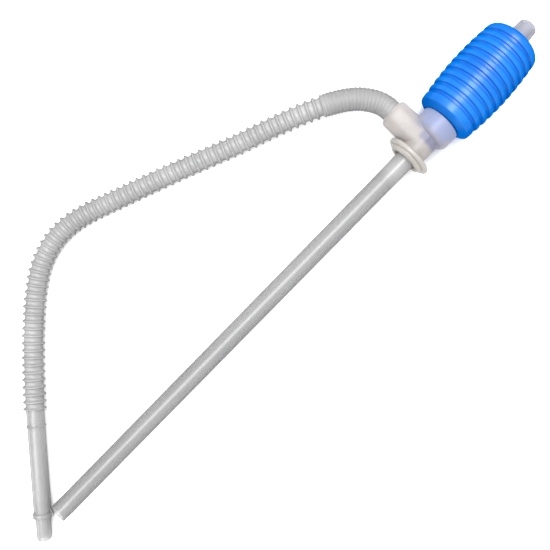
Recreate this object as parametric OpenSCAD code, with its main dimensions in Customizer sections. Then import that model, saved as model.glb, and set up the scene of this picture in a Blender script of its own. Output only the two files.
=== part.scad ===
// Hand siphon pump, lying on its side: a squeeze bulb on a two-valve tee, a rigid
// suction tube and a corrugated discharge hose. Millimetres, +Z up, the floor at z = 0.
// The pump's axis runs along +X, and leans up from the tube's open end to the bulb,
// because both of them rest on the floor. Stations along the axis are counted from the
// middle of the flange, towards the bulb.

/* [Suction tube] */
// Outside diameter of the suction tube at the flange
tube_d = 18; // [17.6:0.1:18.4]
// Outside diameter of the suction tube at its open end
tube_end_d = 17; // [16.6:0.1:18]
// Wall thickness of the suction tube
tube_wall = 1; // [0.8:0.1:1.4]
// Length of the suction tube below the flange's middle
tube_reach = 446; // [300:1:470]
// How far the suction tube runs askew, towards the branch's side
tube_skew = 0.4; // [0:0.1:0.4]
// Slant of the tube's open end
end_slant = 20; // [0:1:30]
// Sideways skew of the tube's open end
end_skew = 4.5; // [0:0.5:8]

/* [Flange] */
// Diameter of the flange that sits on the container's mouth
flange_d = 42.6; // [40:0.2:46]
// Thickness of the flange's rim
flange_h = 4.2; // [4:0.2:4.6]
// Diameter of the skirt under the flange, at its root
skirt_d = 34.6; // [33:0.2:36]
// Depth of the skirt
skirt_h = 3.2; // [2:0.2:4]

/* [Valve body] */
// Outside diameter of the lower neck
neck_d = 25.2; // [25:0.2:26]
// Outside diameter of the cup that holds the bulb
cup_d = 36.2; // [36:0.2:37]
// Station of the cup's rim
cup_top = 39.2; // [39:0.1:39.4]
// Station of the side branch's axis
branch_s = 16.4; // [16.4:0.1:16.6]
// Diameter of the side branch at its root
branch_d = 27.6; // [27:0.2:27.6]
// Distance from the pump's axis to the branch's mouth
branch_reach = 37.5; // [37:0.1:40]

/* [Bulb] */
// Largest diameter of the bulb
bulb_d = 58.6; // [57:0.2:60]
// Station of the bulb's widest place
bulb_mid = 87; // [85:0.5:89]
// Radius of the arc that gives the bulb its barrel shape
barrel_r = 265; // [220:5:320]
// Number of grooves round the bulb
groove_n = 10; // [8:1:10]
// Distance between two grooves
groove_pitch = 7.64; // [7.4:0.02:7.9]
// Depth of each groove
groove_depth = 1.6; // [0.8:0.1:2]
// How far the bulb sits askew in the cup, towards the branch's side
bulb_skew = 1.7; // [0:0.1:1.7]

/* [Hose] */
// Outside diameter of the corrugated hose
hose_d = 20; // [19:0.5:20]
// Diameter of the plain outlet tube on the hose's end
outlet_d = 15.4; // [15:0.1:15.8]
// Diameter of the outlet spout
spout_d = 13; // [12.6:0.1:13.2]

/* [Hidden] */
$fn = 64;

// Where the middle of the flange stands in plan.
flange_x = 150;
flange_y = -4.5;

tube_r = tube_d / 2;
tube_bore_r = tube_r - tube_wall;
tube_end_r = tube_end_d / 2;
tube_pivot = -14.7;       // middle of the tube's grip on the nipple, where it stands askew
flange_r = flange_d / 2;
flange_top = 2.5;
flange_low = -3;
web_low = -2.6;           // underside of the collar's web
tube_top = web_low - 0.08;
skirt_r = skirt_d / 2;
skirt_draw = 4.3;         // how far the skirt rounds inwards
skirt_lip = 1.4;          // width of the skirt's open edge
slip = 0.05;              // radial gap between pieces pushed into each other

// Tube nipple
nipple_low = -26.8;
nipple_head_top = 4;
nipple_bore_r = 6.4;
nipple_r = tube_bore_r - 0.15;

// Valve body
neck_r = neck_d / 2;
neck_bore_r = 11;
cup_r = cup_d / 2;
cup_bore_r = 16;
cup_floor = 26;
shoulder_r = 7;           // rounding under the cup
branch_r = branch_d / 2;
branch_tip_r = branch_r - 0.6;
branch_bore_r = 7.9;
seat_pocket_r = 10.1;     // bore of the branch's wider outer part
seat_pocket_y = 20;       // where that wider part starts
lip_len = 4.5;            // length of the rounding at the branch's mouth

// Valves: a disc with a stem that runs in a ported seat, under a ported cage
disc_h = 1.2;
disc_r = 7.5;
stem_r = 1.5;
stem_h = 5;
guide_r = stem_r + slip;
port_n = 6;
port_r = 1.7;
port_at = 4.6;            // distance of the ports from the axis
seat_h = 2.5;
web_h = 1.6;
cage_bore_r = 8.8;
lift = 3.5;
seat_low = nipple_head_top;
disc_low = seat_low + seat_h;
cage_top = 15;
side_disc_y = seat_pocket_y + seat_h;
side_stop_y = side_disc_y + disc_h + lift;
side_cage_y = side_stop_y + web_h + 0.4;

// Bulb
bulb_r = bulb_d / 2;
bulb_wall = 1.5;
bulb_neck_r = cup_bore_r - 0.4;
bulb_pivot = 28;          // the foot of the bulb's neck, about which it sits askew
bulb_neck_bore_r = 13.4;
washer_h = 1.5;
bulb_low = 39.8;          // the bulb's underside, just above the cup's rim
rim_low = 44.2;           // top of the rounding at the bulb's lower rim
rim_round = 1.2;
rim_high = 126.3;         // foot of the rounding at the bulb's upper rim
dome_s = 132.6;           // the flat top of the dome
dome_r = 9.4;
groove_w = 3.4;
groove_floor_w = 2.2;
groove_first = bulb_mid - groove_pitch * (groove_n - 1) / 2 - 0.8;
inner_r = bulb_r - groove_depth - bulb_wall;

// Vent
spout_flange_r = 9;
spout_base_h = 1.4;
vent_spout_r = 6.5;
vent_bore_r = 4;
vent_top = 147;
cap_r = 9.3;
cap_tip_r = 8.5;
cap_top = 150.9;
cap_round = 3.2;
cap_gap = 0.3;            // between the cap's foot and the dome
seal_h = 1.2;

// The lean that puts both the tube's end and the barrel's arc on the floor.
lean_run = bulb_mid + tube_reach;
lean_rise = barrel_r - bulb_r + tube_end_r;
lean = asin(barrel_r / norm([lean_run, lean_rise])) - atan2(lean_rise, lean_run);
flange_z = tube_end_r * cos(lean) + tube_reach * sin(lean);

// Outlet: the plain tube on the hose's end, from A to the spout's tip B.
outlet_a = [-241.7, 78.5, 10];
outlet_b = [-320.5, -9.1, 8.3];
outlet_len = norm(outlet_b - outlet_a);
outlet_r = outlet_d / 2;
outlet_bore_r = outlet_r - 1.6;
spout_r = spout_d / 2;
spout_bore_r = 4.4;
spout_show = 20.5;        // length of the spout that shows
spout_round = 3.2;        // length of the rounding at the spout's tip
tube_end = outlet_len - spout_show;
spout_grip = 12;          // length of the spout inside the outlet tube
small_ring_at = 14.3;
small_ring_r = 8.5;
small_ring_w = 1.6;
hook_ring_r = 8.6;
hook_ring_w = 4.2;
hook_r = 10;              // reach of the hook's point from the outlet's axis
hook_len = 7.5;
hook_w = 3;

// The hose's route, from the branch's mouth to the outlet tube.
mouth = [
    flange_x + branch_s * cos(lean),
    flange_y + branch_reach,
    flange_z + branch_s * sin(lean)
];
route = [
    mouth,
    [166, 40, 26.6],
    [163, 49, 26.5],
    [154, 62, 26],
    [139, 74, 24.5],
    [121, 84, 22],
    [103, 92.5, 19],
    [78, 103, 15],
    [52, 113, 12],
    [24, 125, 10.3],
    [2, 134, 10],
    [-25, 144.5, 10],
    [-53, 155, 10],
    [-71, 162, 10],
    [-87, 167.5, 10],
    [-102, 170.8, 10],
    [-116, 171.5, 10],
    [-129, 169.5, 10],
    [-141, 165.5, 10],
    [-151, 160.5, 10],
    [-161, 154, 10],
    [-171, 146.5, 10],
    [-181, 138, 10],
    [-195, 125.5, 10],
    [-209, 112, 10],
    [-223, 98, 10],
    [-235, 85.5, 10],
    outlet_a
];

// Puts children on the pump's axis: their Z is the station, their X points down.
module on_axis(s = 0) {
    translate([flange_x, flange_y, flange_z])
        rotate([0, -lean, 0]) rotate([0, 90, 0]) translate([0, 0, s]) children();
}

// Puts children on the suction tube's axis, which runs askew by tube_skew.
module on_tube() {
    on_axis(tube_pivot) rotate([tube_skew, 0, 0]) translate([0, 0, -tube_pivot]) children();
}

// Puts children on the bulb's axis, which stands askew in the cup by bulb_skew.
module on_bulb(s = 0) {
    on_axis(bulb_pivot) rotate([-bulb_skew, 0, 0])
        translate([0, 0, s - bulb_pivot]) children();
}

// Puts children on the branch's axis: their Z is the distance from the pump's axis.
module on_branch() {
    on_axis(branch_s) rotate([-90, 0, 0]) children();
}

// Puts children on the outlet's axis: their Z is the distance from A.
module on_outlet(z = 0) {
    d = outlet_b - outlet_a;
    translate(outlet_a)
        rotate([0, acos(d.z / norm(d)), atan2(d.y, d.x)]) translate([0, 0, z]) children();
}

// Points of an arc in a profile, from angle a to angle b.
function arc(cx, cy, r, a, b, n = 8) =
    [for (i = [0 : n]) let (t = a + (b - a) * i / n) [cx + r * cos(t), cy + r * sin(t)]];

module ring(r_out, r_in, z0, z1) {
    difference() {
        translate([0, 0, z0]) cylinder(r = r_out, h = z1 - z0);
        translate([0, 0, z0 - 1]) cylinder(r = r_in, h = z1 - z0 + 2);
    }
}

// A ring of round ports through a web that starts at z0, h thick.
module ports(z0, h) {
    for (i = [0 : port_n - 1]) rotate(360 / port_n * i)
        translate([port_at, 0, z0 - 1]) cylinder(r = port_r, h = h + 2);
}

// A valve seat: a disc with ports and a bore that guides the valve's stem.
module seat(r_out, z0) {
    difference() {
        ring(r_out, guide_r, z0, z0 + seat_h);
        ports(z0, seat_h);
    }
}

// A cage: a sleeve from z0 to z1 with a ported web at stop_z that stops the valve's disc.
module cage(r_out, z0, z1, stop_z) {
    difference() {
        ring(r_out, guide_r, z0, z1);
        translate([0, 0, z0 - 1]) cylinder(r = cage_bore_r, h = stop_z - z0 + 1);
        translate([0, 0, stop_z + web_h]) cylinder(r = cage_bore_r, h = z1 - stop_z);
        ports(stop_z, web_h);
    }
}

// A valve: a thin disc with a domed back and a stem that points down.
module valve(z0) {
    translate([0, 0, z0]) rotate_extrude() polygon([
        [0, -stem_h + 0.5], [stem_r - 0.5, -stem_h], [stem_r, -stem_h + 0.5], [stem_r, 0],
        [disc_r, 0], [disc_r, disc_h / 2], [disc_r - 1, disc_h], [0, disc_h]
    ]);
}

module suction_tube() {
    low = -tube_reach - tube_r;
    color([0.72, 0.72, 0.73, 0.6]) on_tube() difference() {
        rotate_extrude() polygon([
            [tube_end_r - tube_wall, low], [tube_end_r, low],
            [tube_r, tube_top], [tube_bore_r, tube_top]
        ]);
        translate([0, 0, -tube_reach]) rotate([end_skew, end_slant, 0])
            translate([-tube_d, -tube_d, -2 * tube_d]) cube([2 * tube_d, 2 * tube_d, 2 * tube_d]);
    }
}

module tube_nipple() {
    color([0.86, 0.85, 0.83]) on_axis() rotate_extrude() polygon([
        [nipple_bore_r, nipple_low], [nipple_r - 0.6, nipple_low],
        [nipple_r, nipple_low + 2], [nipple_r, flange_top],
        [neck_bore_r - slip, flange_top], [neck_bore_r - slip, nipple_head_top],
        [nipple_bore_r, nipple_head_top]
    ]);
}

module flange_collar() {
    rim = flange_h / 2;
    color([0.84, 0.82, 0.79]) on_axis() rotate_extrude() polygon(concat(
        [[tube_bore_r, flange_top], [neck_r + 1.4, flange_top]],
        arc(flange_r - rim, flange_low + rim, rim, 76, -90, 12),
        [for (a = [0 : 15 : 90])
            [skirt_r - skirt_draw * (1 - cos(a)), flange_low - skirt_h * sin(a)]],
        [
            [skirt_r - skirt_draw - skirt_lip, flange_low - skirt_h],
            [skirt_r - skirt_draw - skirt_lip, web_low],
            [tube_bore_r, web_low]
        ]
    ));
}

module suction_valve_seat() {
    color([0.9, 0.9, 0.88]) on_axis() seat(neck_bore_r - slip, seat_low);
}

module suction_valve() {
    color([0.8, 0.3, 0.25]) on_axis() valve(disc_low);
}

module suction_valve_cage() {
    color([0.9, 0.9, 0.88]) on_axis()
        cage(neck_bore_r - slip, disc_low, cage_top, disc_low + disc_h + lift);
}

module valve_body() {
    color([0.85, 0.84, 0.88]) difference() {
        union() {
            on_axis() rotate_extrude() polygon(concat(
                [[0, flange_top], [neck_r, flange_top]],
                arc(cup_r - shoulder_r, cup_floor + 1.5, shoulder_r, -77, 0),
                arc(cup_r - 0.6, cup_top - 0.6, 0.6, 0, 90, 4),
                [[0, cup_top]]
            ));
            on_branch() rotate_extrude() polygon(concat(
                [[0, 0], [branch_r, 0]],
                [for (a = [0 : 11.25 : 90]) [
                    seat_pocket_r + (branch_tip_r - seat_pocket_r) * cos(a),
                    branch_reach - lip_len * (1 - sin(a))
                ]],
                [[0, branch_reach]]
            ));
        }
        on_axis(flange_top - 1) cylinder(r = neck_bore_r, h = cup_floor - flange_top + 2);
        on_axis(cup_floor) cylinder(r = cup_bore_r, h = cup_top);
        on_branch() cylinder(r = branch_bore_r, h = branch_reach);
        on_branch() translate([0, 0, seat_pocket_y]) cylinder(r = seat_pocket_r, h = branch_reach);
    }
}

module bulb_washer() {
    color([0.3, 0.3, 0.32]) on_axis()
        ring(bulb_neck_r, bulb_neck_bore_r, cup_floor, cup_floor + washer_h);
}

// Radius of the barrel's arc at station s.
function barrel(s) = bulb_r - barrel_r + sqrt(pow(barrel_r, 2) - pow(s - bulb_mid, 2));

// The four corners of a groove in the barrel's profile, at station s.
function groove(s) = [
    [barrel(s - groove_w / 2), s - groove_w / 2],
    [barrel(s) - groove_depth, s - groove_floor_w / 2],
    [barrel(s) - groove_depth, s + groove_floor_w / 2],
    [barrel(s + groove_w / 2), s + groove_w / 2]
];

module bellows_bulb() {
    neck_low = bulb_pivot;
    rim_r = barrel(rim_low) - rim_round;
    top_r = barrel(rim_high) - 6;
    color([0.12, 0.45, 0.95]) on_bulb() rotate_extrude() polygon(concat(
        [[bulb_neck_bore_r, neck_low], [bulb_neck_r, neck_low], [bulb_neck_r, bulb_low]],
        [[cup_r + 0.6, bulb_low + 0.2]],
        arc(rim_r, rim_low, rim_round, -65, 0, 5),
        [for (i = [0 : groove_n - 1]) each groove(groove_first + groove_pitch * i)],
        arc(top_r, rim_high - 1.4, 6, 8, 68, 7),
        [[dome_r + 3, dome_s - 0.4], [dome_r, dome_s], [vent_spout_r + slip, dome_s]],
        [[vent_spout_r + slip, dome_s - bulb_wall], [dome_r, dome_s - bulb_wall]],
        [[top_r, rim_high + 1.2], [inner_r - 3, rim_high - 5], [inner_r, bulb_mid]],
        [[inner_r - 3, rim_low + 0.8], [bulb_neck_bore_r + 2, bulb_low + 1.6]],
        [[bulb_neck_bore_r, bulb_low]]
    ));
}

module vent_spout() {
    base = dome_s - bulb_wall;
    color([0.8, 0.82, 0.88]) on_bulb() rotate_extrude() polygon([
        [vent_bore_r, base - spout_base_h], [spout_flange_r, base - spout_base_h],
        [spout_flange_r, base], [vent_spout_r, base], [vent_spout_r, vent_top],
        [vent_bore_r, vent_top]
    ]);
}

module vent_seal() {
    color([0.3, 0.3, 0.32]) on_bulb(vent_top) cylinder(r = vent_spout_r, h = seal_h);
}

module vent_cap() {
    bore = vent_spout_r + slip;
    low = dome_s + cap_gap;
    color([0.8, 0.81, 0.87]) on_bulb() rotate_extrude() polygon(concat(
        [[bore, low], [cap_r, low]],
        arc(cap_tip_r - cap_round, cap_top - cap_round, cap_round, 0, 90),
        [[0, cap_top], [0, vent_top + seal_h], [bore, vent_top + seal_h]]
    ));
}

module discharge_valve_seat() {
    color([0.9, 0.9, 0.88]) on_branch() seat(seat_pocket_r - slip, seat_pocket_y);
}

module discharge_valve() {
    color([0.8, 0.3, 0.25]) on_branch() valve(side_disc_y);
}

module discharge_valve_cage() {
    color([0.9, 0.9, 0.88]) on_branch()
        cage(seat_pocket_r - slip, side_disc_y, side_cage_y, side_stop_y);
}

module hose_cuff() {
    color([0.8, 0.8, 0.8]) on_branch()
        ring(seat_pocket_r - slip, cage_bore_r, side_cage_y, branch_reach);
}

// A point of the smooth curve through the route, t from 0 to 1 after point i.
function on_curve(p, i, t) =
    let (a = p[max(i - 1, 0)], b = p[i], c = p[i + 1], d = p[min(i + 2, len(p) - 1)])
    0.5 * (2 * b + (c - a) * t + (2 * a - 5 * b + 4 * c - d) * t * t
        + (3 * b - a - 3 * c + d) * t * t * t);

// A closed tube of radius r swept along the points p, with n sides. It starts square to
// the direction from and ends square to the direction to.
module swept(p, r, from, to, n = 12) {
    last = len(p) - 1;
    rings = [for (i = [0 : last])
        let (
            along = i == 0 ? from : i == last ? to : p[i + 1] - p[i - 1],
            t = along / norm(along),
            side = cross(t, [0, 0, 1]) / norm(cross(t, [0, 0, 1])),
            up = cross(side, t)
        )
        for (k = [0 : n - 1]) p[i] + r * (cos(360 * k / n) * side + sin(360 * k / n) * up)
    ];
    walls = [for (i = [0 : last - 1]) for (k = [0 : n - 1]) let (j = (k + 1) % n)
        [i * n + k, i * n + j, (i + 1) * n + j, (i + 1) * n + k]];
    ends = [[for (k = [n - 1 : -1 : 0]) k], [for (k = [0 : n - 1]) last * n + k]];
    polyhedron(points = rings, faces = concat(walls, ends));
}

module corrugated_hose() {
    out = (outlet_b - outlet_a) / outlet_len;
    points = concat(
        [for (i = [0 : len(route) - 2]) each [route[i], on_curve(route, i, 0.5)]],
        [outlet_a - slip * out]
    );
    color([0.8, 0.8, 0.8, 0.7]) swept(points, hose_d / 2, [0, 1, 0], out);
}

module outlet_tube() {
    color([0.82, 0.82, 0.82, 0.7]) on_outlet() ring(outlet_r, outlet_bore_r, 0, tube_end);
}

module cuff_ring() {
    color([0.78, 0.78, 0.78]) on_outlet(small_ring_at) rotate_extrude() polygon(concat(
        [[outlet_r, 0]],
        arc(small_ring_r - small_ring_w / 2, small_ring_w / 2, small_ring_w / 2, -90, 90, 6),
        [[outlet_r, small_ring_w]]
    ));
}

module hook_ring() {
    color([0.78, 0.78, 0.78]) on_outlet(tube_end - hook_ring_w) {
        rotate_extrude() polygon([
            [outlet_r, 0], [hook_ring_r - 0.5, 0], [hook_ring_r, 0.8],
            [hook_ring_r, hook_ring_w - 1.2], [hook_ring_r - 0.6, hook_ring_w],
            [outlet_r, hook_ring_w]
        ]);
        rotate([0, 0, 90]) rotate([90, 0, 0]) translate([0, 0, -hook_w / 2])
            linear_extrude(hook_w) polygon([
                [outlet_r + 0.1, hook_ring_w - hook_len], [hook_r, hook_ring_w - 2.2],
                [hook_r, hook_ring_w - 1.4], [outlet_r + 0.1, hook_ring_w]
            ]);
    }
}

module outlet_spout() {
    grip = outlet_bore_r - slip;
    wall = spout_r - spout_bore_r;
    color([0.82, 0.82, 0.82, 0.7]) on_outlet(tube_end) rotate_extrude() polygon(concat(
        [[spout_bore_r, -spout_grip], [grip, -spout_grip], [grip, 0], [spout_r, 0]],
        [for (a = [0 : 15 : 90])
            [spout_bore_r + wall * cos(a), spout_show - spout_round * (1 - sin(a))]]
    ));
}

suction_tube();
tube_nipple();
flange_collar();
suction_valve_seat();
suction_valve();
suction_valve_cage();
valve_body();
bulb_washer();
bellows_bulb();
vent_spout();
vent_seal();
vent_cap();
discharge_valve_seat();
discharge_valve();
discharge_valve_cage();
hose_cuff();
corrugated_hose();
outlet_tube();
cuff_ring();
hook_ring();
outlet_spout();
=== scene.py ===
"""Hand siphon pump lying on a pale floor: squeeze bulb, two-valve tee, rigid suction tube
and a corrugated discharge hose. Measures are in millimetres until a mesh is made; the
meshes are in metres, in the frame of the CAD model."""

import math

import bmesh
import bpy
import numpy as np
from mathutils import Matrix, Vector

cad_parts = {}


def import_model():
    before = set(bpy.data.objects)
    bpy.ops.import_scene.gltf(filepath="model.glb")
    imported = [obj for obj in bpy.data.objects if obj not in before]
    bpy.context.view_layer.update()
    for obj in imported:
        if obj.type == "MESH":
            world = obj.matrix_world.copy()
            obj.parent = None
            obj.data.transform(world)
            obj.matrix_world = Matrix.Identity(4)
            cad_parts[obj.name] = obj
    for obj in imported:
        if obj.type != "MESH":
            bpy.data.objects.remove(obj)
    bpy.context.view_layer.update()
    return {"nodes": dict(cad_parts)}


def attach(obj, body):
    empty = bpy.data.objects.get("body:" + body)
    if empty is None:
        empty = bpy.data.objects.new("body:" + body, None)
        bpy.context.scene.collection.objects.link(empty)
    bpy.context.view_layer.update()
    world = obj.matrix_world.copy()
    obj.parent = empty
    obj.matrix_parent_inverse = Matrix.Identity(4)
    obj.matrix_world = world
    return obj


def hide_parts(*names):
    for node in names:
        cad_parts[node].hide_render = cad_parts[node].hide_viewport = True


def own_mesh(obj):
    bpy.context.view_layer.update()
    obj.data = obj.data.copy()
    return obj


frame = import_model()

MM = 0.001
FULL = 2 * math.pi

# ------------------------------------------------------------------ measures (mm)
TUBE_R, TUBE_END_R, TUBE_WALL, TUBE_REACH = 9.0, 8.5, 1.0, 446.0
TUBE_SKEW, TUBE_PIVOT, TUBE_TOP, WEB_LOW = 0.4, -14.7, -2.68, -2.6
END_SLANT, END_SKEW = 20.0, 4.5
FLANGE_R, FLANGE_RIM, FLANGE_LOW, FLANGE_TOP, FLANGE_HUB = 21.3, 2.1, -3.0, 2.5, 1.4
SKIRT_R, SKIRT_H, SKIRT_DRAW, SKIRT_LIP = 17.3, 3.2, 4.3, 1.4
NECK_R, NECK_BORE_R = 12.6, 11.0
CUP_R, CUP_BORE_R, CUP_FLOOR, CUP_TOP = 18.1, 16.0, 26.0, 39.2
SHOULDER_R, CUP_LIP, BODY_VOXEL = 7.0, 0.6, 0.36
BRANCH_S, BRANCH_R, BRANCH_TIP_R, BRANCH_REACH = 16.4, 13.8, 13.2, 37.5
BRANCH_BORE_R, POCKET_R, POCKET_Y, LIP_LEN = 7.9, 10.1, 20.0, 4.5
BULB_R, BULB_MID, BARREL_R, BULB_WALL = 29.3, 87.0, 265.0, 1.5
GROOVE_N, GROOVE_PITCH, GROOVE_W, GROOVE_FLOOR_W, GROOVE_DEPTH = 10, 7.64, 3.4, 2.2, 1.6
BULB_LOW, RIM_LOW, RIM_HIGH, DOME_S, DOME_R = 39.8, 44.2, 126.3, 132.6, 9.4
RIM_ROUND, BULB_SKEW, BULB_PIVOT, RIB_CROWN = 1.2, 1.7, 28.0, 0.42
BULB_NECK_R, BULB_NECK_BORE_R = 15.6, 13.4
THREAD_PITCH, THREAD_DEPTH, THREAD_HALF_W = 3.2, 0.75, 0.85
VENT_R, CAP_R, CAP_TIP_R, CAP_LOW, CAP_TOP, CAP_ROUND = 6.5, 9.3, 8.5, 132.9, 150.9, 3.2
VENT_INNER_TOP, CAP_GAP = 148.2, 0.08
HOSE_R, HOSE_VALLEY_R, HOSE_WALL = 10.05, 7.75, 0.7
OUTLET_A, OUTLET_B = (-241.7, 78.5, 10.0), (-320.5, -9.1, 8.3)
OUTLET_R, OUTLET_BORE_R, SPOUT_R, SPOUT_BORE_R = 7.7, 6.1, 6.5, 4.4
SPOUT_SHOW, SPOUT_GRIP, SPOUT_ROUND = 20.5, 12.0, 3.2
SMALL_RING_AT, SMALL_RING_R, SMALL_RING_W = 14.3, 8.5, 1.6
HOOK_RING_R, HOOK_RING_W, HOOK_R, HOOK_LEN, HOOK_W = 8.6, 4.2, 10.0, 7.5, 3.0

ROUTE = [
    (166, 40, 26.6), (163, 49, 26.5), (154, 62, 26), (139, 74, 24.5), (121, 84, 22),
    (103, 92.5, 19), (78, 103, 15), (52, 113, 12), (24, 125, 10.3), (2, 134, 10),
    (-25, 144.5, 10), (-53, 155, 10), (-71, 162, 10), (-87, 167.5, 10),
    (-102, 170.8, 10), (-116, 171.5, 10), (-129, 169.5, 10), (-141, 165.5, 10),
    (-151, 160.5, 10), (-161, 154, 10), (-171, 146.5, 10), (-181, 138, 10),
    (-195, 125.5, 10), (-209, 112, 10), (-223, 98, 10), (-235, 85.5, 10),
]


# ------------------------------------------------------------------ local frames
class Axis:
    """A place and three directions: z is the piece's own axis."""

    def __init__(self, origin, z, x):
        self.origin = np.array(origin, float)
        self.z = np.array(z, float) / np.linalg.norm(z)
        x = np.array(x, float)
        x = x - self.z * x.dot(self.z)
        self.x = x / np.linalg.norm(x)
        self.y = np.cross(self.z, self.x)

    def world(self, p):
        p = np.asarray(p, float)
        return self.origin + p[..., 0:1] * self.x + p[..., 1:2] * self.y + p[..., 2:3] * self.z


lean_run = BULB_MID + TUBE_REACH
lean_rise = BARREL_R - BULB_R + TUBE_END_R
LEAN = math.asin(BARREL_R / math.hypot(lean_run, lean_rise)) - math.atan2(lean_rise, lean_run)
flange_at = (150.0, -4.5, TUBE_END_R * math.cos(LEAN) + TUBE_REACH * math.sin(LEAN))
PUMP = Axis(flange_at, (math.cos(LEAN), 0, math.sin(LEAN)), (math.sin(LEAN), 0, -math.cos(LEAN)))


def askew(pivot, degrees):
    """The pump's axis turned about the pivot, towards the branch's side above it."""
    turn = math.radians(degrees)
    z = PUMP.z * math.cos(turn) + PUMP.y * math.sin(turn)
    return Axis(PUMP.world((0, 0, pivot)) - pivot * z, z, PUMP.x)


TUBE = askew(TUBE_PIVOT, -TUBE_SKEW)
BULB = askew(BULB_PIVOT, BULB_SKEW)
BRANCH = Axis(PUMP.world((0, 0, BRANCH_S)), (0, 1, 0), PUMP.z)
OUTLET = Axis(OUTLET_A, np.subtract(OUTLET_B, OUTLET_A), (0, 0, 1))
OUTLET_LEN = float(np.linalg.norm(np.subtract(OUTLET_B, OUTLET_A)))
TUBE_END = OUTLET_LEN - SPOUT_SHOW
MOUTH = BRANCH.world((0, 0, BRANCH_REACH))


# ------------------------------------------------------------------ camera, first
def make_camera():
    data = bpy.data.cameras.new("camera")
    data.lens, data.sensor_width = 42.55, 36
    data.clip_start, data.clip_end = 0.01, 20
    cam = bpy.data.objects.new("camera", data)
    cam.location = (-0.0062, 0.0072, 0.592)
    cam.rotation_euler = (0, 0, math.radians(-46))
    bpy.context.scene.collection.objects.link(cam)
    bpy.context.scene.camera = cam


make_camera()


# ------------------------------------------------------------------ materials
class Nodes:
    """Small helper around a material's node tree."""

    def __init__(self, name):
        self.mat = bpy.data.materials.new(name)
        self.mat.use_nodes = True
        self.tree = self.mat.node_tree
        self.tree.nodes.clear()

    def add(self, kind, **sets):
        node = self.tree.nodes.new(kind)
        for key, value in sets.items():
            setattr(node, key, value)
        return node

    def link(self, a, b):
        self.tree.links.new(a, b)

    def coords(self, local, scale):
        """Coordinates in the piece's own frame, in millimetres times scale along x, y and z."""
        mapping = self.add("ShaderNodeMapping")
        if local:
            source = self.add("ShaderNodeAttribute", attribute_name="local").outputs["Vector"]
            mapping.inputs["Scale"].default_value = scale
        else:
            source = self.add("ShaderNodeTexCoord").outputs["Object"]
            mapping.inputs["Scale"].default_value = [v / MM for v in scale]
        self.link(source, mapping.inputs["Vector"])
        return mapping.outputs["Vector"]

    def noise(self, vector, detail, roughness=0.5):
        node = self.add("ShaderNodeTexNoise")
        node.inputs["Scale"].default_value = 1.0
        node.inputs["Detail"].default_value = detail
        node.inputs["Roughness"].default_value = roughness
        self.link(vector, node.inputs["Vector"])
        return node.outputs["Fac"]

    def spread(self, value, low, high, out_low=0.0, out_high=1.0, smooth=True):
        node = self.add("ShaderNodeMapRange")
        if smooth:
            node.interpolation_type = "SMOOTHSTEP"
        ends = (("From Min", low), ("From Max", high), ("To Min", out_low), ("To Max", out_high))
        for key, v in ends:
            node.inputs[key].default_value = v
        self.link(value, node.inputs["Value"])
        return node.outputs["Result"]

    def math(self, kind, a, b):
        node = self.add("ShaderNodeMath", operation=kind)
        for i, v in enumerate((a, b)):
            if isinstance(v, (int, float)):
                node.inputs[i].default_value = v
            else:
                self.link(v, node.inputs[i])
        return node.outputs[0]

    def mix(self, factor, a, b):
        node = self.add("ShaderNodeMix", data_type="RGBA")
        node.clamp_factor = True
        self.link(factor, node.inputs[0])
        for i, v in ((6, a), (7, b)):
            if isinstance(v, (tuple, list)):
                node.inputs[i].default_value = (*v[:3], 1)
            else:
                self.link(v, node.inputs[i])
        return node.outputs[2]

    def value(self, attribute):
        return self.add("ShaderNodeAttribute", attribute_name=attribute).outputs["Fac"]


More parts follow.
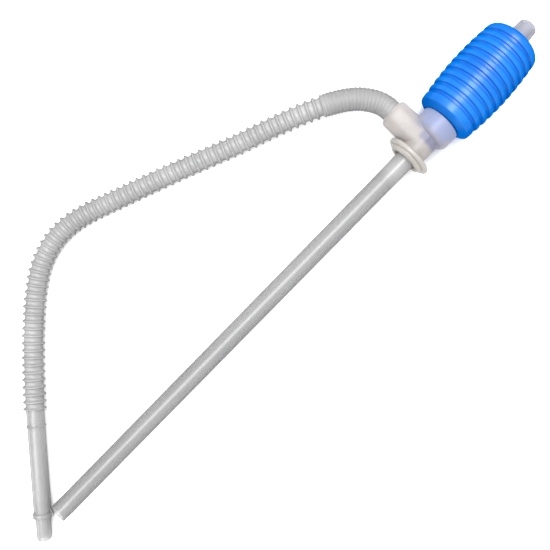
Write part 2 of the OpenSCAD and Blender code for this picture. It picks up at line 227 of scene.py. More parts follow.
def plastic(name, dark, light, rough=0.3, rough_spread=0.1, blotch=0.05, stretch=(1, 1, 1),
            grain=1.6, grain_depth=0.02, streak=None, streak_depth=0.0, local=True,
            clear=0.0, clear_edge=0.0, soft=0.0, tints=(), dense=None, coat=0.0,
            coat_rough=0.2, gloss=0.5, gloss_edge=0.15, depth=0.98):
    """A moulded or extruded plastic. dark and light are the ends of its colour variation,
    blotch and grain the scales of the variation and of the surface's fine unevenness (per
    mm), and grain_depth that unevenness in mm. streak is the scale of fine lines along or
    round the piece, and streak_depth their depth in mm. local says that the piece holds its
    own coordinates. clear and clear_edge are the share of light that passes straight
    through, facing and at the edge, depth what the longer way through the wall at the edge
    leaves of that light, and soft the light that spreads under the surface. tints is a list
    of (attribute, colour, share), and dense an attribute and how much it takes from clear.
    coat and gloss are the shine of the surface, which fades to gloss_edge at the edge."""
    n = Nodes(name)
    out = n.add("ShaderNodeOutputMaterial")
    body = n.add("ShaderNodeBsdfPrincipled")
    body.inputs["IOR"].default_value = 1.5
    cloud = n.spread(n.noise(n.coords(local, [blotch * s for s in stretch]), 4, 0.55), 0.3, 0.7)
    colour = n.mix(cloud, dark, light)
    for attribute, shade, share in tints:
        colour = n.mix(n.math("MULTIPLY", n.value(attribute), share), colour, shade)
    n.link(colour, body.inputs["Base Color"])
    smear = n.noise(n.coords(local, [0.35 * s for s in stretch]), 3, 0.6)
    n.link(n.spread(smear, 0.3, 0.7, rough - rough_spread / 2, rough + rough_spread / 2),
           body.inputs["Roughness"])
    fine = n.noise(n.coords(local, (grain, grain, grain)), 2)
    height = n.math("MULTIPLY", fine, grain_depth)
    if streak is not None:
        lines = n.noise(n.coords(local, streak), 2)
        height = n.math("ADD", height, n.math("MULTIPLY", lines, streak_depth))
    bump = n.add("ShaderNodeBump")
    bump.inputs["Strength"].default_value = 1.0
    bump.inputs["Distance"].default_value = MM
    n.link(height, bump.inputs["Height"])
    n.link(bump.outputs["Normal"], body.inputs["Normal"])
    if soft:
        body.inputs["Subsurface Weight"].default_value = soft
        body.inputs["Subsurface Radius"].default_value = (1.0, 1.0, 1.0)
        body.inputs["Subsurface Scale"].default_value = 2.5 * MM
    facing = n.add("ShaderNodeLayerWeight")
    facing.inputs["Blend"].default_value = 0.35
    facing = facing.outputs["Facing"]
    n.link(n.spread(facing, 0.02, 0.40, gloss, gloss_edge), body.inputs["Specular IOR Level"])
    if coat:
        n.link(n.spread(facing, 0.02, 0.35, coat, 0.0), body.inputs["Coat Weight"])
        body.inputs["Coat Roughness"].default_value = coat_rough
    surface = body.outputs[0]
    if clear:
        see = n.add("ShaderNodeBsdfTransparent")
        n.link(n.spread(facing, 0.25, 0.8, 0.985, depth), see.inputs[0])
        share = n.spread(facing, 0.0, 0.9, clear, clear_edge, smooth=False)
        if dense is not None:
            less = n.spread(n.value(dense[0]), 0, 1, 1, 1 - dense[1], smooth=False)
            share = n.math("MULTIPLY", share, less)
        blend = n.add("ShaderNodeMixShader")
        n.link(share, blend.inputs[0])
        n.link(surface, blend.inputs[1])
        n.link(see.outputs[0], blend.inputs[2])
        surface = blend.outputs[0]
    n.link(surface, out.inputs["Surface"])
    return n.mat


# The bulb's grooves get a painted shade: a darker blue on their walls and floors.
BULB_BLUE = plastic("bulb_blue", (0.001, 0.100, 0.42), (0.003, 0.134, 0.49), rough=0.33,
                    blotch=0.03, grain=2.2, grain_depth=0.006, streak=(0.9, 0.9, 0.05),
                    streak_depth=0.008, coat=0.22, gloss=0.34, gloss_edge=0.0,
                    tints=[("groove", (0.001, 0.046, 0.33), 0.55)])
# The neck below the cup gets a painted shade: a darker lavender band.
MILKY = plastic("milky_body", (0.355, 0.33, 0.32), (0.42, 0.39, 0.38), rough=0.32, blotch=0.05,
                grain=1.8, grain_depth=0.004, streak=(0.02, 0.02, 0.35),
                streak_depth=0.05, clear=0.34, clear_edge=0.25, depth=0.45, soft=0.2,
                tints=[("cup", (0.245, 0.285, 0.45), 0.9), ("neck_shade_band", (0.18, 0.185, 0.28), 0.85)],
                coat=0.05, gloss=0.36, gloss_edge=0.05)
COLLAR = plastic("collar_white", (0.32, 0.30, 0.28), (0.38, 0.36, 0.335), rough=0.36,
                 grain=1.8, grain_depth=0.006, soft=0.15, clear=0.10, clear_edge=0.15, depth=0.45,
                 gloss_edge=0.1)
CAP = plastic("cap_milky", (0.24, 0.245, 0.285), (0.29, 0.295, 0.34), rough=0.45, grain=1.8,
              grain_depth=0.006, clear=0.16, clear_edge=0.45, depth=0.35, soft=0.2, gloss=0.3,
              gloss_edge=0.0)
CLEAR_TUBE = plastic("clear_tube", (0.25, 0.25, 0.255), (0.29, 0.29, 0.29), rough=0.30,
                     blotch=0.02, stretch=(3, 3, 0.5), grain=0.8, grain_depth=0.001,
                     streak=(0.6, 0.6, 0.01), streak_depth=0.0015, clear=0.5, clear_edge=0.45,
                     depth=0.38, coat=0.8, coat_rough=0.27, gloss_edge=0.0,
                     tints=[("grip", (0.33, 0.325, 0.33), 0.85)], dense=("grip", 0.45))
# The hose's fold slopes, and the valleys of the first stretch, get a painted shade: a darker grey.
CLEAR_HOSE = plastic("clear_hose", (0.37, 0.37, 0.37), (0.44, 0.44, 0.44), rough=0.36,
                     blotch=0.04, grain=1.0, grain_depth=0.003, clear=0.50, clear_edge=0.65,
                     depth=0.30, dense=("shaded_flank", 0.4),
                     tints=[("shaded_flank", (0.15, 0.15, 0.15), 0.2),
                            ("pushed", (0.28, 0.28, 0.28), 0.85)],
                     coat=0.35, gloss=0.35, gloss_edge=0.0)
OUTLET_CLEAR = plastic("outlet_clear", (0.30, 0.30, 0.30), (0.35, 0.35, 0.35), rough=0.30,
                       blotch=0.03, stretch=(2, 2, 0.5), grain=0.8, grain_depth=0.002,
                       streak=(0.6, 0.6, 0.02), streak_depth=0.002, clear=0.45, clear_edge=0.45,
                       depth=0.38, coat=0.35, gloss_edge=0.0)
VALVE_WHITE = plastic("valve_white", (0.66, 0.66, 0.64), (0.76, 0.76, 0.74), rough=0.42,
                      local=False, grain=1.5, grain_depth=0.02)
VALVE_RED = plastic("valve_red", (0.34, 0.05, 0.03), (0.44, 0.08, 0.05), rough=0.5,
                    local=False, grain=2.0, grain_depth=0.03)
SEAL_GREY = plastic("seal_grey", (0.05, 0.05, 0.055), (0.09, 0.09, 0.095), rough=0.6,
                    local=False, grain=2.5, grain_depth=0.04)
CUFF_GREY = plastic("hose_cuff_milky", (0.55, 0.55, 0.54), (0.63, 0.63, 0.62), rough=0.4,
                    local=False, grain=1.5, grain_depth=0.02)


# ------------------------------------------------------------------ mesh tools
def rounded(points, n=5):
    """A profile whose corners are rounded. Each point is (r, z) or (r, z, radius)."""
    out = []
    count = len(points)
    for i, p in enumerate(points):
        radius = p[2] if len(p) > 2 else 0
        here = np.array(p[:2], float)
        before = np.array(points[i - 1][:2], float)
        after = np.array(points[(i + 1) % count][:2], float)
        a, b = before - here, after - here
        la, lb = np.linalg.norm(a), np.linalg.norm(b)
        if radius <= 0 or la < 1e-9 or lb < 1e-9:
            out.append(tuple(here))
            continue
        a, b = a / la, b / lb
        angle = math.acos(max(-1, min(1, float(a.dot(b)))))
        if angle > math.radians(178):
            out.append(tuple(here))
            continue
        cut = min(radius / math.tan(angle / 2), 0.48 * la, 0.48 * lb)
        radius = cut * math.tan(angle / 2)
        bisector = (a + b) / np.linalg.norm(a + b)
        centre = here + bisector * radius / math.sin(angle / 2)
        start, end = here + a * cut - centre, here + b * cut - centre
        t0 = math.atan2(start[1], start[0])
        turn = math.atan2(end[1], end[0]) - t0
        turn = (turn + math.pi) % FULL - math.pi
        for k in range(n + 1):
            t = t0 + turn * k / n
            out.append(tuple(centre + radius * np.array([math.cos(t), math.sin(t)])))
    return out


def arc(cx, cy, r, a, b, n=10):
    """Points of an arc in a profile, angles in degrees."""
    return [(cx + r * math.cos(math.radians(a + (b - a) * i / n)),
             cy + r * math.sin(math.radians(a + (b - a) * i / n))) for i in range(n + 1)]


def revolve(profile, sides=96, bend=None):
    """Local points and faces of a closed profile turned round z. Points on the axis become
    poles. bend(r, z, angle) may change the radius."""
    verts, faces, rings = [], [], []
    for r, z in profile:
        if r < 1e-6:
            rings.append([len(verts)])
            verts.append((0.0, 0.0, z))
            continue
        ring = []
        for k in range(sides):
            t = FULL * k / sides
            radius = r if bend is None else bend(r, z, t)
            ring.append(len(verts))
            verts.append((radius * math.cos(t), radius * math.sin(t), z))
        rings.append(ring)
    for i, here in enumerate(rings):
        there = rings[(i + 1) % len(rings)]
        if len(here) == 1 and len(there) == 1:
            continue
        for k in range(sides):
            j = (k + 1) % sides
            if len(here) == 1:
                faces.append((here[0], there[j], there[k]))
            elif len(there) == 1:
                faces.append((here[k], here[j], there[0]))
            else:
                faces.append((here[k], here[j], there[j], there[k]))
    return np.array(verts), faces


def mesh_object(name, local, faces, axis, material, sharp=40, world=None):
    """A mesh object from points in a local frame. It keeps them as an attribute, which the
    materials read, so that their grain follows the piece."""
    local = np.asarray(local, float)
    world = axis.world(local) if world is None else np.asarray(world, float)
    mesh = bpy.data.meshes.new(name)
    mesh.from_pydata((world * MM).tolist(), [], faces)
    keep = mesh.attributes.new("local", "FLOAT_VECTOR", "POINT")
    keep.data.foreach_set("vector", local.astype(np.float32).ravel())
    mesh.update()
    outward(mesh)
    mesh.shade_smooth()
    mesh.set_sharp_from_angle(angle=math.radians(sharp))
    mesh.materials.append(material)
    obj = bpy.data.objects.new(name, mesh)
    bpy.context.scene.collection.objects.link(obj)
    return obj


def outward(mesh):
    """Turns the faces' normals outwards."""
    bm = bmesh.new()
    bm.from_mesh(mesh)
    bmesh.ops.recalc_face_normals(bm, faces=bm.faces)
    bm.to_mesh(mesh)
    bm.free()


def turned(name, profile, axis, material, sides=96, sharp=40, bend=None):
    """A mesh object made by turning a profile round an axis."""
    local, faces = revolve(profile, sides, bend)
    return mesh_object(name, local, faces, axis, material, sharp)


def tint(obj, name, rule):
    """Stores rule(x, y, z), from 0 to 1 and of the local coordinates, for the material."""
    mesh = obj.data
    local = np.empty(len(mesh.vertices) * 3, np.float32)
    mesh.attributes["local"].data.foreach_get("vector", local)
    values = np.clip(rule(*local.reshape(-1, 3).T), 0, 1).astype(np.float32)
    mesh.attributes.new(name, "FLOAT", "POINT").data.foreach_set("value", values)


# ------------------------------------------------------------------ hose
def catmull(points, steps):
    """The smooth curve through points, with steps points from each to the next."""
    p = [np.array(q, float) for q in points]
    out = []
    for i in range(len(p) - 1):
        a, b, c, d = p[max(i - 1, 0)], p[i], p[i + 1], p[min(i + 2, len(p) - 1)]
        for k in range(steps):
            t = k / steps
            out.append(0.5 * (2 * b + (c - a) * t + (2 * a - 5 * b + 4 * c - d) * t * t
                              + (3 * b - a - 3 * c + d) * t ** 3))
    out.append(p[-1])
    return np.array(out)


route = catmull([tuple(MOUTH), *ROUTE, OUTLET_A], 24)
for _ in range(60):  # evens out the small changes of bend at the route's points
    route[1:-1] = route[1:-1] * 0.5 + (route[:-2] + route[2:]) * 0.25
steps = np.linalg.norm(np.diff(route, axis=0), axis=1)
run = np.concatenate([[0], np.cumsum(steps)])
HOSE_LEN = float(run[-1])


def at(s):
    """The route's point at s mm along it."""
    return np.array([np.interp(s, run, route[:, i]) for i in range(3)])


PUSHED = 60.0       # the first stretch of the hose, whose folds are still pushed together
PUSHED_PITCH, PUSHED_R, PUSHED_DEPTH, CUFF_END_R = 3.3, 9.6, 0.70, 9.35
# beyond it, the distance from fold to fold at some stations
PULLED = [(60, 6.88), (215, 6.88), (265, 6.15), (345, 6.15), (390, 6.48), (486, 6.65)]
FIRST_FOLD, LAST_FOLD = 2.4, 0.2    # from the end of the first stretch, and from the hose's end
RIDGE_PITCH = 6.8                   # the pitch that RIDGE, a fold's (offset, height), is for
RIDGE = [(0.0, 1.0), (0.4, 0.97), (0.75, 0.84), (1.05, 0.60), (1.35, 0.36), (1.8, 0.16),
         (2.5, 0.04), (3.4, 0.0)]


def hose_rings():
    """Stations along the hose with the radius at each."""
    rings = [(0.0, CUFF_END_R)]
    s = 1.2
    while s < PUSHED - 1:
        grow = min(1.0, 0.35 + s / 30.0)
        for k in range(6):
            u = k / 6
            wave = (0.5 + 0.5 * math.cos(FULL * u)) ** 1.25
            rings.append((s + PUSHED_PITCH * u, PUSHED_R + PUSHED_DEPTH * grow * wave))
        s += PUSHED_PITCH
    folds = [s + FIRST_FOLD]
    while folds[-1] < HOSE_LEN - 3.0:
        folds.append(folds[-1] + float(np.interp(folds[-1], *zip(*PULLED))))
    fit = (HOSE_LEN - LAST_FOLD - folds[0]) / (folds[-1] - folds[0])
    folds = [folds[0] + fit * (fold - folds[0]) for fold in folds]
    for i, fold in enumerate(folds):
        before = fold - folds[i - 1] if i else PULLED[0][1]
        after = folds[i + 1] - fold if i + 1 < len(folds) else before
        for x, h in [(-x, h) for x, h in RIDGE[:0:-1]] + RIDGE[:-1]:
            z = fold + x * (before if x < 0 else after) / RIDGE_PITCH
            if z < s + 0.2 or z > HOSE_LEN - 0.15:
                continue
            if i == 0 and x < 0:
                h = max(h, 0.72)
            rings.append((z, HOSE_VALLEY_R + (HOSE_R - HOSE_VALLEY_R) * h))
    rings.append((HOSE_LEN, OUTLET_R))
    return rings


def sweep(name, rings, wall, material, sides=40):
    """A hollow hose: an outer skin through the rings and an inner one a wall deeper."""
    local, world = [], []
    up = np.array([0, 0, 1.0])

    def ring(s, r):
        p = at(s)
        if s < 0.01:
            t = np.array([0, 1.0, 0])
        elif s > HOSE_LEN - 0.01:
            t = OUTLET.z
        else:
            t = at(min(s + 1.5, HOSE_LEN)) - at(max(s - 1.5, 0))
            t = t / np.linalg.norm(t)
        side = np.cross(t, up)
        side = side / np.linalg.norm(side)
        top = np.cross(side, t)
        for k in range(sides):
            a = FULL * k / sides
            local.append((r * math.cos(a), r * math.sin(a), s))
            world.append(p + r * (math.cos(a) * side + math.sin(a) * top))

    for s, r in rings:
        ring(s, r)
    for s, r in reversed(rings):
        ring(s, r - wall)
    count = 2 * len(rings)
    faces = []
    for i in range(count):
        j = (i + 1) % count
        for k in range(sides):
            m = (k + 1) % sides
            faces.append((i * sides + k, i * sides + m, j * sides + m, j * sides + k))
    return mesh_object(name, local, faces, None, material, 60, world=world)


hose = sweep("hose", hose_rings(), HOSE_WALL, CLEAR_HOSE)


def flank_shade_tint(x, y, z):
    """Painted shade on the folds' slopes, and in the first stretch in the valleys; the same mask
    makes the slopes less clear.
    """
    r = np.hypot(x, y)
    slope = 1 - np.abs(2 * (r - HOSE_VALLEY_R) / (HOSE_R - HOSE_VALLEY_R) - 1)
    return np.where(z > PUSHED, slope, 0.4 + np.clip((10.0 - r) / 0.5, 0, 1) * 0.5)


tint(hose, "shaded_flank", flank_shade_tint)
tint(hose, "pushed", lambda x, y, z: (PUSHED + 4 - z) / 8)
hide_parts("corrugated_hose")
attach(hose, "pump")

# ------------------------------------------------------------------ outlet
outlet_tube = turned("outlet_pipe", rounded([
    (OUTLET_BORE_R, 0.05, 0.3), (OUTLET_R, 0.05, 0.3), (OUTLET_R, TUBE_END, 0.3),
    (OUTLET_BORE_R, TUBE_END, 0.3)]), OUTLET, OUTLET_CLEAR)
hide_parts("outlet_tube")

small_ring = turned("outlet_bead", [
    (OUTLET_R - 0.3, SMALL_RING_AT),
    *arc(SMALL_RING_R - SMALL_RING_W / 2, SMALL_RING_AT + SMALL_RING_W / 2, SMALL_RING_W / 2,
         -90, 90, 10),
    (OUTLET_R - 0.3, SMALL_RING_AT + SMALL_RING_W)], OUTLET, OUTLET_CLEAR)
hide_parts("cuff_ring")


def hook_mesh():
    """The end ring with its small hook: a wedge that points at the suction tube."""
    low, high, half = TUBE_END - HOOK_RING_W, TUBE_END, HOOK_W / 2
    local, faces = revolve(rounded([
        (OUTLET_R - 0.3, low, 0.1), (HOOK_RING_R, low, 0.6), (HOOK_RING_R, high, 0.6),
        (OUTLET_R - 0.3, high, 0.1)]), 96)
    side = rounded([(OUTLET_R - 0.3, high - HOOK_LEN, 0.1), (OUTLET_R + 0.1, high - HOOK_LEN, 0.2),
                    (HOOK_R, high - 2.2, 0.5), (HOOK_R, high - 1.4, 0.4),
                    (OUTLET_R - 0.3, high, 0.1)], 4)
    start, n = len(local), len(side)
    rows = [(-half, 0.25), (-half + 0.25, 0.0), (half - 0.25, 0.0), (half, 0.25)]
    wedge = [(x, inset - r, z) for x, inset in rows for r, z in side]
    for i in range(len(rows) - 1):
        for k in range(n):
            j = (k + 1) % n
            corners = (i * n + k, i * n + j, i * n + n + j, i * n + n + k)
            faces.append(tuple(start + v for v in corners))
    faces.append(tuple(start + k for k in range(n)))
    faces.append(tuple(start + (len(rows) - 1) * n + k for k in reversed(range(n))))
    return np.concatenate([local, np.array(wedge)]), faces


hook_local, hook_faces = hook_mesh()
hook = mesh_object("outlet_hook_ring", hook_local, hook_faces, OUTLET, OUTLET_CLEAR)
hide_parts("hook_ring")

spout_wall = SPOUT_R - SPOUT_BORE_R
spout = turned("outlet_nozzle", [
    (SPOUT_BORE_R, TUBE_END - SPOUT_GRIP), (OUTLET_BORE_R - 0.05, TUBE_END - SPOUT_GRIP),
    (OUTLET_BORE_R - 0.05, TUBE_END), (SPOUT_R - 0.2, TUBE_END), (SPOUT_R, TUBE_END + 0.2),
    *[(SPOUT_BORE_R + spout_wall * math.cos(math.radians(a)),
       TUBE_END + SPOUT_SHOW - SPOUT_ROUND * (1 - math.sin(math.radians(a))))
      for a in range(0, 91, 9)]], OUTLET, OUTLET_CLEAR)
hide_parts("outlet_spout")

for piece in (outlet_tube, small_ring, hook, spout):
    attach(piece, "pump")


# ------------------------------------------------------------------ suction tube
def tube_mesh():
    """The suction tube: straight walls, cut on a slant at the open end."""
    sides = 96
    slant, skew = math.radians(END_SLANT), math.radians(END_SKEW)
    normal = (math.sin(slant) * math.cos(skew), -math.sin(skew), math.cos(slant) * math.cos(skew))

    def cut(x, y):
        return -TUBE_REACH - (normal[0] * x + normal[1] * y) / normal[2]

    local, faces, rows = [], [], []

    def row(r, z):
        ring = []
        for k in range(sides):
            a = FULL * k / sides
            x, y = r * math.cos(a), r * math.sin(a)
            ring.append(len(local))
            local.append((x, y, z(x, y)))
        rows.append(ring)

    def radius(d):
        share = min(1.0, (TUBE_REACH + TUBE_TOP - d) / (TUBE_REACH + TUBE_TOP))
        return TUBE_R + (TUBE_END_R - TUBE_R) * share

    lengths = [0.12, 0.3, 1.0, 4.0] + list(np.linspace(12, TUBE_REACH + TUBE_TOP - 12, 40))
    bore = TUBE_END_R - TUBE_WALL
    for r, d in ((TUBE_END_R - 0.15, 0.0), (TUBE_END_R - 0.05, 0.05)):
        row(r, lambda x, y, d=d: cut(x, y) + d)
    for d in lengths:
        row(radius(d), lambda x, y, d=d: cut(x, y) + d)
    row(TUBE_R, lambda x, y: TUBE_TOP)
    row(TUBE_R - TUBE_WALL, lambda x, y: TUBE_TOP)
    for d in lengths[::-1]:
        row(radius(d) - TUBE_WALL, lambda x, y, d=d: cut(x, y) + d)
    row(bore + 0.05, lambda x, y: cut(x, y) + 0.05)
    row(bore + 0.15, lambda x, y: cut(x, y))
    for i, here in enumerate(rows):
        there = rows[(i + 1) % len(rows)]
        for k in range(sides):
            j = (k + 1) % sides
            faces.append((here[k], here[j], there[j], there[k]))
    return local, faces


tube_local, tube_faces = tube_mesh()
tube = mesh_object("suction_pipe", tube_local, tube_faces, TUBE, CLEAR_TUBE)
tint(tube, "grip", lambda x, y, z: (z + 28) / 2)
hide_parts("suction_tube")
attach(tube, "pump")

# ------------------------------------------------------------------ flange
skirt_low, lip_r = FLANGE_LOW - SKIRT_H, SKIRT_R - SKIRT_DRAW
collar = turned("mouth_flange", [
    (TUBE_R - TUBE_WALL, FLANGE_TOP), (NECK_R + FLANGE_HUB, FLANGE_TOP),
    *arc(FLANGE_R - FLANGE_RIM, FLANGE_LOW + FLANGE_RIM, FLANGE_RIM, 76, -90, 20),
    *[(SKIRT_R - SKIRT_DRAW * (1 - math.cos(math.radians(a))),
       FLANGE_LOW - SKIRT_H * math.sin(math.radians(a))) for a in range(0, 86, 5)],
    *rounded([(lip_r, skirt_low, 0.4), (lip_r - SKIRT_LIP, skirt_low, 0.4),
              (lip_r - SKIRT_LIP, WEB_LOW, 0.5), (TUBE_R - TUBE_WALL, WEB_LOW)], 3)],
    PUMP, COLLAR, sides=120, sharp=50)
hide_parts("flange_collar")
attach(collar, "pump")


# ------------------------------------------------------------------ valve body
def boolean(base, other, operation):
    """Joins or cuts base with other, which is used up."""
    mod = base.modifiers.new(operation.lower(), "BOOLEAN")
    mod.operation = operation
    mod.solver = "EXACT"
    mod.object = other
    apply_modifiers(base)
    bpy.data.objects.remove(other)


def apply_modifiers(obj):
    graph = bpy.context.evaluated_depsgraph_get()
    mesh = bpy.data.meshes.new_from_object(obj.evaluated_get(graph), depsgraph=graph)
    obj.modifiers.clear()
    old = obj.data
    obj.data = mesh
    bpy.data.meshes.remove(old)


def set_local(obj, axis):
    """Gives a mesh the local coordinates that its material reads."""
    mesh = obj.data
    co = np.empty(len(mesh.vertices) * 3, np.float32)
    mesh.vertices.foreach_get("co", co)
    d = co.reshape(-1, 3) / MM - axis.origin
    local = np.stack([d @ axis.x, d @ axis.y, d @ axis.z], 1).astype(np.float32)
    if "local" in mesh.attributes:
        mesh.attributes.remove(mesh.attributes["local"])
    keep = mesh.attributes.new("local", "FLOAT_VECTOR", "POINT")
    keep.data.foreach_set("vector", local.ravel())


def valve_body():
    """The tee: neck, cup and branch joined, bored out, and their edges evened."""
    outer = turned("tee_body", [
        (0, FLANGE_TOP), (NECK_R, FLANGE_TOP),
        *arc(CUP_R - SHOULDER_R, CUP_FLOOR + 1.5, SHOULDER_R, -77, 0, 16),
        *arc(CUP_R - CUP_LIP, CUP_TOP - CUP_LIP, CUP_LIP, 0, 90, 6), (0, CUP_TOP)],
        PUMP, MILKY, 128)
    branch = turned("branch", [
        *[(BRANCH_R * math.sin(math.radians(a)), -8 * math.cos(math.radians(a)))
          for a in range(0, 91, 6)],
        *[(POCKET_R - 0.3 + (BRANCH_TIP_R - POCKET_R + 0.3) * math.cos(math.radians(a)),
           BRANCH_REACH - LIP_LEN * (1 - math.sin(math.radians(a)))) for a in range(0, 91, 6)],
        (0, BRANCH_REACH)], BRANCH, MILKY, 128)
    boolean(outer, branch, "UNION")
    for r, low, high, axis in (
        (NECK_BORE_R, FLANGE_TOP - 1, CUP_FLOOR + 1, PUMP),
        (CUP_BORE_R, CUP_FLOOR, CUP_TOP + 1, PUMP),
        (BRANCH_BORE_R, 0, BRANCH_REACH + 1, BRANCH),
        (POCKET_R, POCKET_Y, BRANCH_REACH + 1, BRANCH),
    ):
        bore = turned("bore", [(0, low), (r, low), (r, high), (0, high)], axis, MILKY, 128)
        boolean(outer, bore, "DIFFERENCE")
    remesh = outer.modifiers.new("remesh", "REMESH")
    remesh.mode = "VOXEL"
    remesh.voxel_size = BODY_VOXEL * MM
    remesh.use_smooth_shade = True
    even = outer.modifiers.new("even", "SMOOTH")
    even.factor, even.iterations = 0.5, 8
    apply_modifiers(outer)
    set_local(outer, PUMP)
    if not outer.data.materials:
        outer.data.materials.append(MILKY)
    outer.data.shade_smooth()
    return outer


body = valve_body()


def rise(v, low, high):
    """From 0 at low to 1 at high."""
    return np.clip((v - low) / (high - low), 0, 1)


def cup_tint(x, y, z):
    """The cup, where the blue neck inside shows through, fading out over its shoulder."""
    return np.maximum(rise(z, 28, 31), rise(z, 18, 27) * rise(np.abs(y), 19.6, 11.6))


def neck_shade_band_tint(x, y, z):
    """A darker band round the neck below the cup, except under the branch: painted shade under the
    cup's shoulder, over the empty chamber at the inner valve.
    """
    return rise(z, 12.5, 15.5) * rise(z, 23, 19.5) * rise(y, 8, 4.5)


tint(body, "cup", cup_tint)
tint(body, "neck_shade_band", neck_shade_band_tint)
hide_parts("valve_body")
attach(body, "pump")


# ------------------------------------------------------------------ bulb
def barrel(s):
    """The bulb's radius at a station, before its grooves."""
    return BULB_R - BARREL_R + math.sqrt(BARREL_R ** 2 - (s - BULB_MID) ** 2)


GROOVE_FIRST = BULB_MID - GROOVE_PITCH * (GROOVE_N - 1) / 2 - 0.8


def rib_point(middle, off):
    """A point of a rib's rounded back, off mm from its middle."""
    share = 2 * off / (GROOVE_PITCH - GROOVE_W)
    return barrel(middle + off) - RIB_CROWN * share ** 2, middle + off


def bulb_profile():
    """The bulb's wall above its neck: outer skin up, inner skin down."""
    rim_r, top_r = barrel(RIM_LOW) - RIM_ROUND, barrel(RIM_HIGH) - 6
    outer = [(BULB_NECK_BORE_R + 0.4, BULB_LOW), (BULB_NECK_R, BULB_LOW),
             (CUP_R + 0.6, BULB_LOW + 0.2, 0.6)]
    outer += arc(rim_r, RIM_LOW, RIM_ROUND, -65, 0, 8)
    rib = (GROOVE_PITCH - GROOVE_W) / 2
    for i in range(GROOVE_N):
        s = GROOVE_FIRST + GROOVE_PITCH * i
        if i == 0:
            outer += [rib_point(s - GROOVE_PITCH / 2, u * rib) for u in (0.0, 0.3, 0.6, 0.85)]
        outer += [(barrel(s - GROOVE_W / 2) - RIB_CROWN, s - GROOVE_W / 2, 0.4),
                  (barrel(s) - GROOVE_DEPTH, s - GROOVE_FLOOR_W / 2, 0.3),
                  (barrel(s) - GROOVE_DEPTH, s + GROOVE_FLOOR_W / 2, 0.3),
                  (barrel(s + GROOVE_W / 2) - RIB_CROWN, s + GROOVE_W / 2, 0.4)]
        reach = (-0.85, -0.6, -0.3, 0.0) + ((0.3, 0.6, 0.85) if i < GROOVE_N - 1 else ())
        outer += [rib_point(s + GROOVE_PITCH / 2, u * rib) for u in reach]
    outer += arc(top_r, RIM_HIGH - 1.4, 6, 8, 68, 14)
    outer += [(DOME_R + 3, DOME_S - 0.4, 1.5), (DOME_R, DOME_S, 1.0), (VENT_R + 0.05, DOME_S, 0.3)]
    inner = [(VENT_R + 0.05, DOME_S - BULB_WALL), (DOME_R, DOME_S - BULB_WALL),
             (top_r, RIM_HIGH + 1.2, 2), (BULB_R - 6, RIM_HIGH - 5, 3)]
    for i in reversed(range(GROOVE_N)):
        s = GROOVE_FIRST + GROOVE_PITCH * i
        inner += [(barrel(s + GROOVE_W / 2) - BULB_WALL, s + GROOVE_W / 2 + 0.5, 0.4),
                  (barrel(s) - GROOVE_DEPTH - BULB_WALL, s + GROOVE_FLOOR_W / 2 + 0.4, 0.4),
                  (barrel(s) - GROOVE_DEPTH - BULB_WALL, s - GROOVE_FLOOR_W / 2 - 0.4, 0.4),
                  (barrel(s - GROOVE_W / 2) - BULB_WALL, s - GROOVE_W / 2 - 0.5, 0.4)]
    inner += [(rim_r - 0.6, RIM_LOW + 0.8, 1), (BULB_NECK_BORE_R + 2, BULB_LOW + 1.6, 1)]
    return rounded(outer + inner, 4)


SEAM = 0.10


def seam(r, z, t):
    """The thin parting line of the mould, along both sides of the bulb."""
    near = min(abs(t - math.pi / 2), abs(t - 3 * math.pi / 2))
    return r + (SEAM if near < 0.01 and r > 20 else 0.0)


bulb = turned("bulb_skin", bulb_profile(), BULB, BULB_BLUE, 192, 45, seam)


def groove_tint(x, y, z):
    """Painted shade in the grooves: on their walls, and less on their floors."""
    barrel_r = BULB_R - BARREL_R + np.sqrt(BARREL_R ** 2 - (z - BULB_MID) ** 2)
    deep = (barrel_r - np.hypot(x, y)) / GROOVE_DEPTH
    near = (z > GROOVE_FIRST - 2.5) & (z < GROOVE_FIRST + GROOVE_PITCH * (GROOVE_N - 1) + 2.5)
    wall = np.where(deep > 0.93, 0.45, np.clip((deep - 0.27) / 0.15, 0, 1))
    return np.where(near & (deep < 1.1), wall, 0)


tint(bulb, "groove", groove_tint)
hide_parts("bellows_bulb")
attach(bulb, "pump")
tuple(BULB.world((0, 0, BULB_LOW)) * MM)
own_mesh(bulb)


def neck_mesh():
    """The bulb's neck with its thread: the radius rises along a helix."""
    pitch, sides = THREAD_PITCH, 96
    core = BULB_NECK_R - THREAD_DEPTH
    zs = np.arange(BULB_PIVOT, BULB_LOW + 0.61, 0.2)
    local, faces, rows = [], [], []

    def crest(z, a):
        phase = ((z / pitch - a / FULL) % 1.0 - 0.5) * pitch
        low, high = (z - BULB_PIVOT - 0.4) / 0.8, (BULB_LOW - 0.6 - z) / 0.8
        edge = min(1.0, max(0.0, low), max(0.0, high))
        return max(0.0, 1 - (abs(phase) / THREAD_HALF_W) ** 3) * THREAD_DEPTH * edge

    for skin in ("out", "in"):
        for z in (zs if skin == "out" else (zs[-1], zs[0])):
            ring = []
            for k in range(sides):
                a = FULL * k / sides
                r = core + crest(z, a) if skin == "out" else BULB_NECK_BORE_R
                ring.append(len(local))
                local.append((r * math.cos(a), r * math.sin(a), z))
            rows.append(ring)
    for i, here in enumerate(rows):
        there = rows[(i + 1) % len(rows)]
        for k in range(sides):
            j = (k + 1) % sides
            faces.append((here[k], here[j], there[j], there[k]))
    return local, faces


neck_local, neck_faces = neck_mesh()
bulb_neck = mesh_object("bulb_neck", neck_local, neck_faces, BULB, BULB_BLUE, 50)
# The neck gets no painted groove shade.
tint(bulb_neck, "groove", lambda x, y, z: 0 * z)
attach(bulb_neck, "pump")

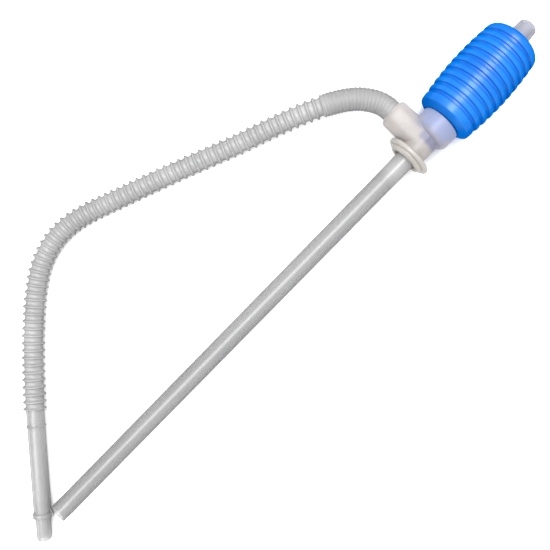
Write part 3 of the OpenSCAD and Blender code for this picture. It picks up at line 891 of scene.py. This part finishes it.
# ------------------------------------------------------------------ vent cap
cap = turned("vent_screw_cap", [
    *rounded([(VENT_R + 0.1, CAP_LOW), (CAP_R, CAP_LOW, 0.35), (CAP_R - 0.05, CAP_LOW + 1.2)], 3),
    *arc(CAP_TIP_R - CAP_ROUND, CAP_TOP - CAP_ROUND, CAP_ROUND, 0, 90, 12),
    (0, CAP_TOP), (0, VENT_INNER_TOP + CAP_GAP), (VENT_R + 0.1, VENT_INNER_TOP + CAP_GAP)],
    BULB, CAP, 96)
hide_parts("vent_cap")
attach(cap, "vent_cap")

# ------------------------------------------------------------------ inner pieces
INNER = {
    "tube_nipple": VALVE_WHITE, "suction_valve_seat": VALVE_WHITE,
    "suction_valve_cage": VALVE_WHITE, "discharge_valve_seat": VALVE_WHITE,
    "discharge_valve_cage": VALVE_WHITE, "suction_valve": VALVE_RED,
    "discharge_valve": VALVE_RED, "bulb_washer": SEAL_GREY, "vent_seal": SEAL_GREY,
    "vent_spout": CUFF_GREY, "hose_cuff": CUFF_GREY,
}
for node, material in INNER.items():
    obj = frame["nodes"][node]
    obj.data.materials.clear()
    obj.data.materials.append(material)


# ------------------------------------------------------------------ floor and light
def floor():
    n = Nodes("floor_white")
    out = n.add("ShaderNodeOutputMaterial")
    body = n.add("ShaderNodeBsdfPrincipled")
    body.inputs["Base Color"].default_value = (0.95, 0.95, 0.95, 1)
    body.inputs["Roughness"].default_value = 0.9
    body.inputs["Specular IOR Level"].default_value = 0.1
    n.link(body.outputs[0], out.inputs["Surface"])
    size = 6.0
    mesh = bpy.data.meshes.new("floor")
    mesh.from_pydata([(-size, -size, 0), (size, -size, 0), (size, size, 0), (-size, size, 0)],
                     [], [(0, 1, 2, 3)])
    mesh.materials.append(n.mat)
    obj = bpy.data.objects.new("floor", mesh)
    bpy.context.scene.collection.objects.link(obj)
    obj.location.z = -0.0002


def area_light(name, at_m, size, power, target):
    data = bpy.data.lights.new(name, "AREA")
    data.shape = "RECTANGLE"
    data.size, data.size_y = size
    data.energy = power
    obj = bpy.data.objects.new(name, data)
    obj.location = at_m
    way = Vector(target) - Vector(at_m)
    obj.rotation_euler = way.to_track_quat("-Z", "Y").to_euler()
    bpy.context.scene.collection.objects.link(obj)


def world(low, high):
    """Plain white light from all round, stronger from above than from the sides."""
    scene = bpy.context.scene
    scene.world = bpy.data.worlds.new("studio")
    scene.world.use_nodes = True
    tree = scene.world.node_tree
    way, split = tree.nodes.new("ShaderNodeTexCoord"), tree.nodes.new("ShaderNodeSeparateXYZ")
    rise = tree.nodes.new("ShaderNodeMapRange")
    rise.inputs["To Min"].default_value, rise.inputs["To Max"].default_value = low, high
    back = tree.nodes["Background"]
    back.inputs[0].default_value = (1, 1, 1, 1)
    tree.links.new(way.outputs["Generated"], split.inputs[0])
    tree.links.new(split.outputs["Z"], rise.inputs["Value"])
    tree.links.new(rise.outputs["Result"], back.inputs[1])


floor()
area_light("softbox", (-0.05, 0.17, 1.3), (3.0, 0.6), 45, target=(-0.05, 0.0, 0.0))
world(0.3, 1.25)
bpy.context.scene.view_settings.view_transform = "Standard"
